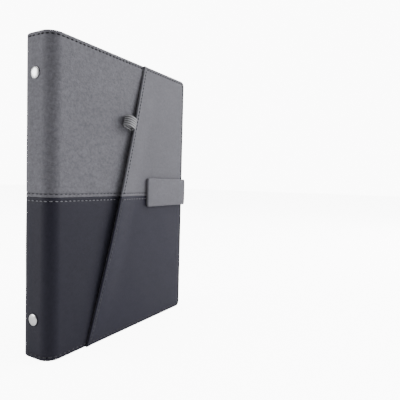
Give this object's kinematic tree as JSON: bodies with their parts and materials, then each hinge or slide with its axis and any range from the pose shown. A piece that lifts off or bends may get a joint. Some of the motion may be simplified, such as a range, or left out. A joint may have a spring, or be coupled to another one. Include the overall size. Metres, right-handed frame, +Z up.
{
  "type": "ring binder notebook",
  "caption": "Closed ring binder notebook standing upright: two-tone soft leather covers, leaning front pocket, pen loop, strap closure, riveted ring mechanism and paper refill.",
  "frame": {"origin": "middle of the part's base, on the surface that the closed binder stands on", "axes": "+Z up along the spine, the front cover faces -Y, the spine is at -X and the fore edge at +X"},
  "size_m": [0.1728, 0.0442, 0.235],
  "materials": {
    "grey_leather": "fine suede-like grain",
    "dark_leather": "fine matt grain",
    "board": "grey board",
    "lining": "woven lining",
    "nickel": "nickel plated",
    "rivet_steel": "polished with fine scratches",
    "magnet": "plain",
    "paper": "cut sheet edges",
    "elastic": "ribbed elastic"
  },
  "bodies": {
    "spine": {"spine_leather_upper": "grey_leather", "spine_leather_lower": "dark_leather", "spine_board": "board", "spine_lining": "lining", "rivet_bottom": "rivet_steel", "rivet_top": "rivet_steel", "ring_rail": "nickel", "lever_pin_bottom": "nickel", "lever_pin_top": "nickel", "page_block": "paper"},
    "front_cover": {"front_leather_upper": "grey_leather", "front_leather_lower": "dark_leather", "front_board": "board", "front_lining": "lining", "front_magnet": "magnet", "pocket_upper": "grey_leather", "pocket_lower": "dark_leather", "pen_loop": "elastic"},
    "back_cover": {"back_leather_upper": "grey_leather", "back_leather_lower": "dark_leather", "back_board": "board", "back_lining": "lining", "strap_anchor": "grey_leather"},
    "strap": {"strap_outer": "grey_leather", "strap_core": "board", "strap_inner": "grey_leather", "strap_magnet": "magnet"},
    "rings_front": {"ring_blade_front": "nickel", "ring_front_1": "nickel", "ring_front_2": "nickel", "ring_front_3": "nickel", "ring_front_4": "nickel", "ring_front_5": "nickel", "ring_front_6": "nickel"},
    "rings_back": {"ring_blade_back": "nickel", "ring_back_1": "nickel", "ring_back_2": "nickel", "ring_back_3": "nickel", "ring_back_4": "nickel", "ring_back_5": "nickel", "ring_back_6": "nickel"},
    "lever_bottom": {"lever_bottom": "nickel"},
    "lever_top": {"lever_top": "nickel"}
  },
  "joints": [
    {"name": "front_cover_hinge", "type": "hinge", "parent": "spine", "child": "front_cover", "pos_m": [-0.082, -0.01035, 0.1175], "axis": [0, 0, -1], "range_deg": [0, 180]},
    {"name": "back_cover_hinge", "type": "hinge", "parent": "spine", "child": "back_cover", "pos_m": [-0.082, 0.0158, 0.1175], "axis": [0, 0, 1], "range_deg": [0, 180]},
    {"name": "strap_fold", "type": "hinge", "parent": "back_cover", "child": "strap", "pos_m": [0.08528, 0.02093, 0.121], "axis": [0, 0, 1], "range_deg": [0, 170]},
    {"name": "rings_front_pivot", "type": "hinge", "parent": "spine", "child": "rings_front", "pos_m": [-0.07923, -0.00267, 0.1175], "axis": [0, 0, -1], "range_deg": [0, 10.5]},
    {"name": "rings_back_pivot", "type": "hinge", "parent": "spine", "child": "rings_back", "pos_m": [-0.07923, 0.00813, 0.1175], "axis": [0, 0, 1], "range_deg": [0, 10.5]},
    {"name": "lever_bottom_pivot", "type": "hinge", "parent": "spine", "child": "lever_bottom", "pos_m": [-0.07923, 0.00272, 0.0201], "axis": [0, 1, 0], "range_deg": [0, 10.5]},
    {"name": "lever_top_pivot", "type": "hinge", "parent": "spine", "child": "lever_top", "pos_m": [-0.07923, 0.00272, 0.2149], "axis": [0, -1, 0], "range_deg": [0, 10.5]}
  ],
  "couplings": [
    {"joint": "rings_back_pivot", "follows": "rings_front_pivot", "ratio": 1},
    {"joint": "lever_bottom_pivot", "follows": "rings_front_pivot", "ratio": 1},
    {"joint": "lever_top_pivot", "follows": "rings_front_pivot", "ratio": 1}
  ]
}
